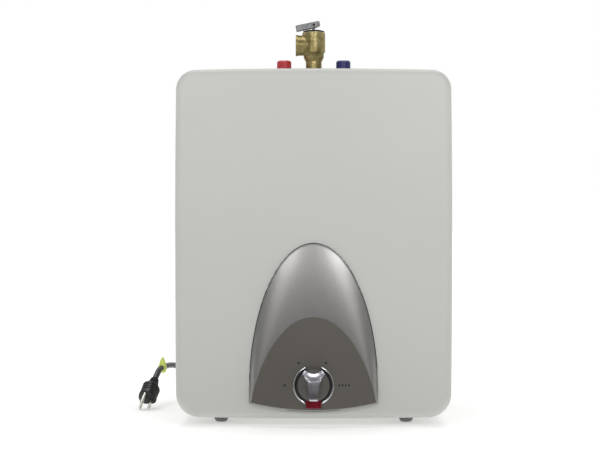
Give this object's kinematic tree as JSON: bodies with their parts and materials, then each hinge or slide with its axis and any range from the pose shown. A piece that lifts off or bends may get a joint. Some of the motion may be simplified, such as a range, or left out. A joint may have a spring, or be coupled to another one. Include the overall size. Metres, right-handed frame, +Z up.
{
  "type": "electric water heater",
  "caption": "Small electric tank water heater: a rounded square case on feet with a dial panel, a relief valve, capped pipes, a wall bracket and a corded plug.",
  "frame": {"origin": "on the floor under the middle of the case", "axes": "+Z up, front of the case towards -Y, +X to the right seen from the front"},
  "size_m": [0.4168, 0.5149, 0.5293],
  "materials": {
    "case_plastic": "gloss",
    "zinc_steel": "satin",
    "foot_rubber": "matt",
    "panel_silver": "satin metallic",
    "dial_plate": "satin",
    "chrome_trim": "polished",
    "lens_red": "gloss",
    "lamp_glass": "clear",
    "knob_dark": "satin",
    "control_plastic": "matt",
    "button_red": "gloss",
    "block_plastic": "matt",
    "tank_steel": "enamelled",
    "gasket_rubber": "matt",
    "element_copper": "drawn",
    "anode_metal": "matt",
    "dip_plastic": "matt",
    "cap_red": "satin",
    "cap_blue": "satin",
    "collar_plastic": "gloss",
    "valve_brass": "satin cast",
    "valve_cap_black": "satin",
    "valve_steel": "satin",
    "valve_probe_coat": "matt",
    "foam": "matt",
    "bracket_paint": "zinc",
    "cord_jacket": "satin",
    "gland_plastic": "satin",
    "wire_jacket": "satin",
    "earth_jacket": "satin",
    "tie_yellow_green": "satin",
    "plug_black": "satin",
    "pin_brass": "polished"
  },
  "bodies": {
    "heater": {"anode_rod": "anode_metal", "bracket_screws": "zinc_steel", "case_screws": "zinc_steel", "cold_nipple": "zinc_steel", "control_plate": "zinc_steel", "control_screws": "zinc_steel", "cord_coil": "cord_jacket", "cord_gland": "gland_plastic", "cord_lead": "cord_jacket", "cord_tie": "tie_yellow_green", "dial_face": "dial_plate", "dial_ring": "chrome_trim", "dip_tube": "dip_plastic", "earth_wire": "earth_jacket", "element_flange": "tank_steel", "feet": "foot_rubber", "flange_bolts": "zinc_steel", "flange_gasket": "gasket_rubber", "foam_front": "foam", "foam_rear": "foam", "front_shell": "case_plastic", "heating_element": "element_copper", "high_limit_control": "control_plastic", "hot_nipple": "zinc_steel", "inner_wires": "wire_jacket", "pilot_lamp": "lamp_glass", "pilot_lens": "lens_red", "plug_body": "plug_black", "plug_pins": "pin_brass", "power_cord": "cord_jacket", "rear_bumpers": "foot_rubber", "rear_shell": "case_plastic", "relief_socket": "zinc_steel", "sensor_bulbs": "element_copper", "sensor_pockets": "element_copper", "service_cover": "case_plastic", "strain_relief": "gland_plastic", "supply_tail": "cord_jacket", "tank_bottom_dome": "tank_steel", "tank_shell": "tank_steel", "tank_top_dome": "tank_steel", "terminal_block": "block_plastic", "thermostat_body": "control_plastic", "top_collars": "collar_plastic", "trim_panel": "panel_silver", "valve_body": "valve_brass", "valve_cap": "valve_cap_black", "valve_probe": "valve_probe_coat", "valve_spring": "valve_steel", "wall_bracket": "bracket_paint"},
    "knob": {"knob_body": "knob_dark", "knob_grip": "chrome_trim", "thermostat_shaft": "zinc_steel"},
    "valve_stem": {"valve_stem": "valve_steel", "valve_disc": "valve_brass", "lever_pin": "valve_steel"},
    "valve_lever": {"valve_lever": "valve_steel"},
    "hot_cap": {"hot_cap": "cap_red"},
    "cold_cap": {"cold_cap": "cap_blue"},
    "reset_button": {"reset_button": "button_red"}
  },
  "joints": [
    {"name": "knob_turn", "type": "hinge", "parent": "heater", "child": "knob", "pos_m": [0, -0.1755, 0.0531], "axis": [0, 1, 0], "range_deg": [0, 270]},
    {"name": "valve_stem_lift", "type": "slide", "parent": "heater", "child": "valve_stem", "axis": [0, 0, 1], "range_m": [0, 0.0025], "deforming": ["valve_spring"]},
    {"name": "valve_lever_turn", "type": "hinge", "parent": "valve_stem", "child": "valve_lever", "pos_m": [0, 0, 0.5236], "axis": [0, 1, 0], "range_deg": [0, 75]},
    {"name": "hot_cap_pull", "type": "slide", "parent": "heater", "child": "hot_cap", "axis": [0, 0, 1], "range_m": [0, 0.03]},
    {"name": "cold_cap_pull", "type": "slide", "parent": "heater", "child": "cold_cap", "axis": [0, 0, 1], "range_m": [0, 0.03]},
    {"name": "reset_press", "type": "slide", "parent": "heater", "child": "reset_button", "axis": [0, 0, 1], "range_m": [0, 0.0015], "stiffness_N_per_m": 500}
  ],
  "couplings": [
    {"joint": "valve_stem_lift", "follows": "valve_lever_turn", "m_per_rad": 0.0019}
  ]
}
